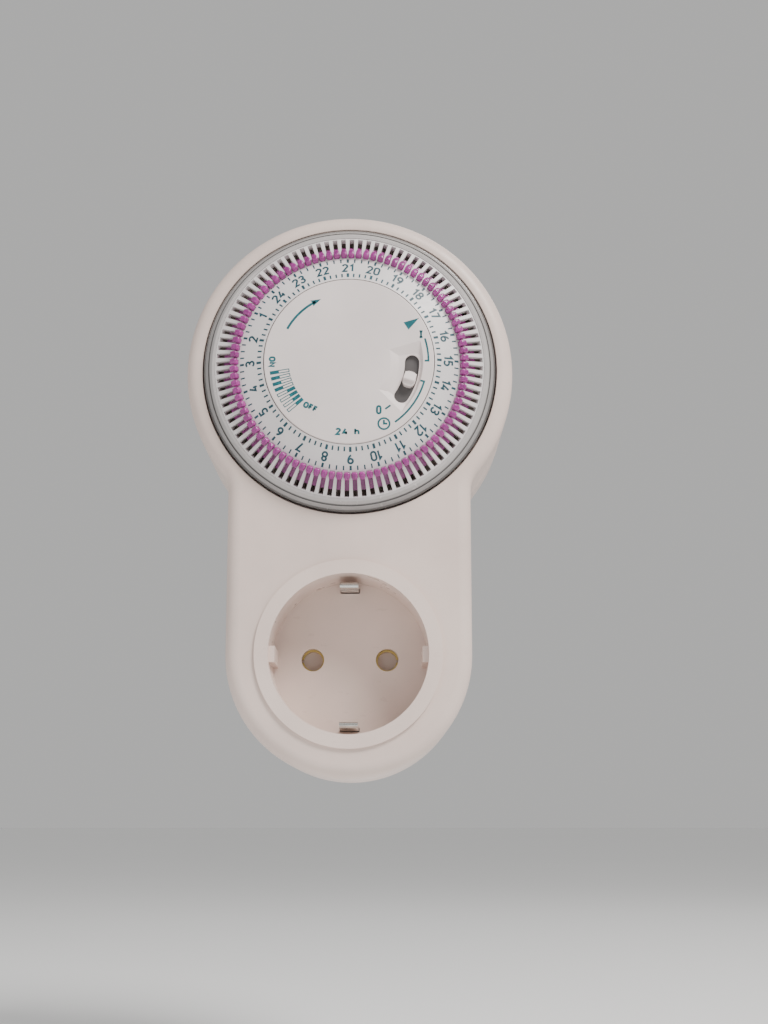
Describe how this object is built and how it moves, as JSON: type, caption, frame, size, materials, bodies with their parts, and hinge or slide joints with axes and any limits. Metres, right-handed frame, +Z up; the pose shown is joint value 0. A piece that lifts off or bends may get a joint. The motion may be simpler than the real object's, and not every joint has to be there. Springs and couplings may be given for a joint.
{
  "type": "plug-in segment timer",
  "caption": "Plug-in mechanical 24-hour timer: keyhole casing, conical dial ring with sliding trippers around a printed disc, side-contact plug behind and socket in front.",
  "frame": {"origin": "midway between the two plug pins, in the plane of the plug's end face, which rests on the floor of a wall socket", "axes": "+Y along the plug pins, into the wall; -Y out of the dial towards the user; +Z up, from the plug to the dial; +X to the user's right"},
  "size_m": [0.083, 0.089, 0.144],
  "materials": {
    "casing_white": "fine moulded texture",
    "socket_white": "smooth moulded",
    "face_white": "smooth, faintly satin",
    "tripper_magenta": "tinted, slightly translucent",
    "smoke_clear": "smoky translucent",
    "grey_plastic": "smooth",
    "works_plastic": "natural acetal",
    "black_plastic": "moulded",
    "red_plastic": "smooth",
    "steel": "zinc plated",
    "nickel": "nickel plated brass",
    "brass_strip": "rolled strip",
    "copper": "rolled copper alloy strip",
    "motor_steel": "drawn and zinc plated",
    "coil": "enamelled copper winding",
    "magnet": "sintered ferrite"
  },
  "bodies": {
    "casing": {"front_shell": "casing_white", "rear_shell": "casing_white", "casing_screws": "steel", "socket_cup": "socket_white", "plug_body": "casing_white", "plug_pin_live": "nickel", "plug_pin_neutral": "nickel", "earth_strap": "nickel", "contact_sleeve_live": "brass_strip", "contact_sleeve_neutral": "brass_strip", "neutral_bar": "brass_strip", "live_in_bar": "copper", "live_out_bar": "copper", "mechanism_plate": "works_plastic", "plate_screws": "steel", "centre_column": "works_plastic", "face_disc": "face_white", "dial_clip": "steel", "motor_can": "motor_steel", "motor_coil": "coil", "motor_end_plate": "motor_steel", "wheel_axle": "steel", "switch_case": "black_plastic", "switch_blade": "copper", "switch_terminals": "brass_strip", "feeler_pin": "steel", "detent_spring": "steel"},
    "dial": {"programme_ring": "face_white", "grip_ring": "smoke_clear", "dial_gear": "works_plastic", "tripper_set": "tripper_magenta"},
    "override": {"override_lever": "grey_plastic", "override_knob": "face_white"},
    "feeler": {"feeler_lever": "works_plastic"},
    "button": {"switch_button": "red_plastic"},
    "wheel": {"reduction_wheel": "works_plastic"},
    "rotor": {"motor_pinion": "works_plastic", "rotor_magnet": "magnet"},
    "tripper_01": {"tripper_01": "tripper_magenta"},
    "tripper_02": {"tripper_02": "tripper_magenta"},
    "tripper_03": {"tripper_03": "tripper_magenta"},
    "tripper_04": {"tripper_04": "tripper_magenta"},
    "tripper_05": {"tripper_05": "tripper_magenta"},
    "tripper_06": {"tripper_06": "tripper_magenta"},
    "tripper_07": {"tripper_07": "tripper_magenta"},
    "tripper_08": {"tripper_08": "tripper_magenta"},
    "tripper_09": {"tripper_09": "tripper_magenta"},
    "tripper_10": {"tripper_10": "tripper_magenta"},
    "tripper_11": {"tripper_11": "tripper_magenta"},
    "tripper_12": {"tripper_12": "tripper_magenta"},
    "tripper_13": {"tripper_13": "tripper_magenta"},
    "tripper_14": {"tripper_14": "tripper_magenta"},
    "tripper_15": {"tripper_15": "tripper_magenta"},
    "tripper_16": {"tripper_16": "tripper_magenta"}
  },
  "joints": [
    {"name": "dial_spin", "type": "hinge", "parent": "casing", "child": "dial", "pos_m": [0, -0.053, 0.072], "axis": [0, 1, 0], "continuous": true},
    {"name": "tripper_01_slide", "type": "slide", "parent": "dial", "child": "tripper_01", "axis": [-0.7787, 0.3746, -0.5033], "range_m": [0, 0.0042]},
    {"name": "tripper_02_slide", "type": "slide", "parent": "dial", "child": "tripper_02", "axis": [-0.7441, 0.3746, -0.5531], "range_m": [0, 0.0042]},
    {"name": "tripper_03_slide", "type": "slide", "parent": "dial", "child": "tripper_03", "axis": [-0.7063, 0.3746, -0.6006], "range_m": [0, 0.0042]},
    {"name": "tripper_04_slide", "type": "slide", "parent": "dial", "child": "tripper_04", "axis": [-0.6656, 0.3746, -0.6455], "range_m": [0, 0.0042]},
    {"name": "tripper_05_slide", "type": "slide", "parent": "dial", "child": "tripper_05", "axis": [-0.6219, 0.3746, -0.6877], "range_m": [0, 0.0042]},
    {"name": "tripper_06_slide", "type": "slide", "parent": "dial", "child": "tripper_06", "axis": [-0.5756, 0.3746, -0.7269], "range_m": [0, 0.0042]},
    {"name": "tripper_07_slide", "type": "slide", "parent": "dial", "child": "tripper_07", "axis": [-0.5268, 0.3746, -0.763], "range_m": [0, 0.0042]},
    {"name": "tripper_08_slide", "type": "slide", "parent": "dial", "child": "tripper_08", "axis": [-0.4758, 0.3746, -0.7958], "range_m": [0, 0.0042]},
    {"name": "tripper_09_slide", "type": "slide", "parent": "dial", "child": "tripper_09", "axis": [-0.4227, 0.3746, -0.8252], "range_m": [0, 0.0042]},
    {"name": "tripper_10_slide", "type": "slide", "parent": "dial", "child": "tripper_10", "axis": [-0.3679, 0.3746, -0.8511], "range_m": [0, 0.0042]},
    {"name": "tripper_11_slide", "type": "slide", "parent": "dial", "child": "tripper_11", "axis": [-0.3114, 0.3746, -0.8733], "range_m": [0, 0.0042]},
    {"name": "tripper_12_slide", "type": "slide", "parent": "dial", "child": "tripper_12", "axis": [-0.2536, 0.3746, -0.8918], "range_m": [0, 0.0042]},
    {"name": "tripper_13_slide", "type": "slide", "parent": "dial", "child": "tripper_13", "axis": [-0.1948, 0.3746, -0.9065], "range_m": [0, 0.0042]},
    {"name": "tripper_14_slide", "type": "slide", "parent": "dial", "child": "tripper_14", "axis": [-0.135, 0.3746, -0.9173], "range_m": [0, 0.0042]},
    {"name": "tripper_15_slide", "type": "slide", "parent": "dial", "child": "tripper_15", "axis": [-0.0748, 0.3746, -0.9242], "range_m": [0, 0.0042]},
    {"name": "tripper_16_slide", "type": "slide", "parent": "dial", "child": "tripper_16", "axis": [-0.0142, 0.3746, -0.9271], "range_m": [0, 0.0042]},
    {"name": "override_turn", "type": "hinge", "parent": "casing", "child": "override", "pos_m": [0, -0.053, 0.072], "axis": [0, -1, 0], "range_deg": [-16, 16]},
    {"name": "feeler_swing", "type": "hinge", "parent": "casing", "child": "feeler", "pos_m": [0.03483, -0.045, 0.07543], "axis": [0, -1, 0], "range_deg": [0, 4.2], "stiffness_Nm_per_rad": 0.01, "springref_deg": -2.86},
    {"name": "button_press", "type": "slide", "parent": "casing", "child": "button", "axis": [-0.8572, 0, -0.515], "range_m": [0, 0.00112]},
    {"name": "wheel_spin", "type": "hinge", "parent": "casing", "child": "wheel", "pos_m": [-0.01105, -0.045, 0.05414], "axis": [0, 1, 0], "continuous": true},
    {"name": "rotor_spin", "type": "hinge", "parent": "casing", "child": "rotor", "pos_m": [0, -0.045, 0.044], "axis": [0, 1, 0], "continuous": true}
  ],
  "couplings": [
    {"joint": "wheel_spin", "follows": "dial_spin", "ratio": -6},
    {"joint": "rotor_spin", "follows": "dial_spin", "ratio": 24},
    {"joint": "button_press", "follows": "feeler_swing", "m_per_rad": 0.015}
  ]
}
